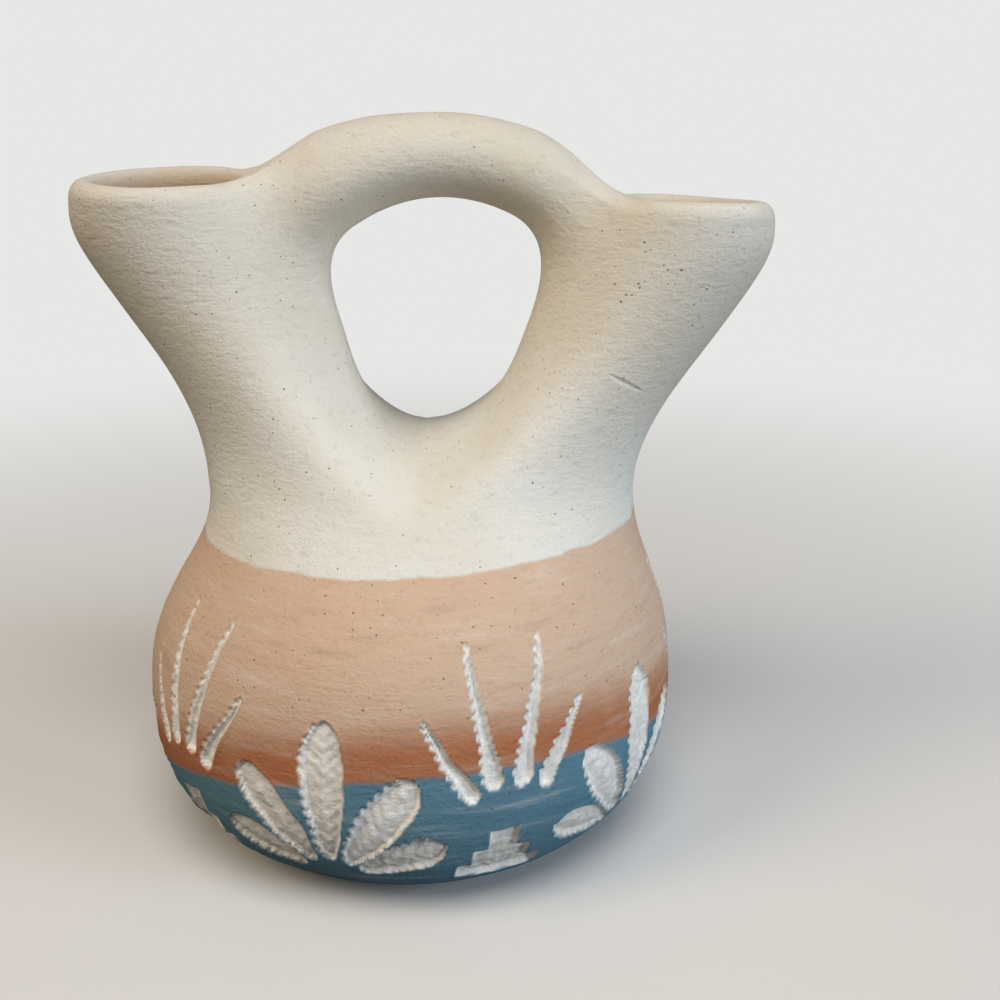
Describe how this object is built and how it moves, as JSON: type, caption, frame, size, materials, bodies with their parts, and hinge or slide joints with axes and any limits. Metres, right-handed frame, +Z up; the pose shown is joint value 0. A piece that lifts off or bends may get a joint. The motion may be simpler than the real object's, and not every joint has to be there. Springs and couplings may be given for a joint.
{
  "type": "wedding vase",
  "caption": "Small hand-built clay vessel with a round painted and carved belly, slanted spouts either side of a saddle, and a coil handle bridging their rims.",
  "frame": {"origin": "middle of the flat foot, on the surface that the vase stands on", "axes": "+Z up, +X towards the right spout, -Y towards the side that the picture shows"},
  "size_m": [0.0832, 0.066, 0.0884],
  "materials": {
    "bare_clay": "unglazed cream clay, matt and gritty",
    "tan_slip": "matt tan slip on clay",
    "rust_slip": "matt rust slip on clay",
    "blue_slip": "matt grey-blue slip on clay"
  },
  "bodies": {
    "root": {"base_disc": "blue_slip", "base_seam_coil": "bare_clay", "lower_bowl": "blue_slip", "belly_course": "rust_slip", "shoulder_course": "tan_slip", "left_spout": "bare_clay", "right_spout": "bare_clay", "left_rim_coil": "bare_clay", "right_rim_coil": "bare_clay", "bridge_handle": "bare_clay", "left_handle_fillet": "bare_clay", "right_handle_fillet": "bare_clay"}
  },
  "joints": []
}
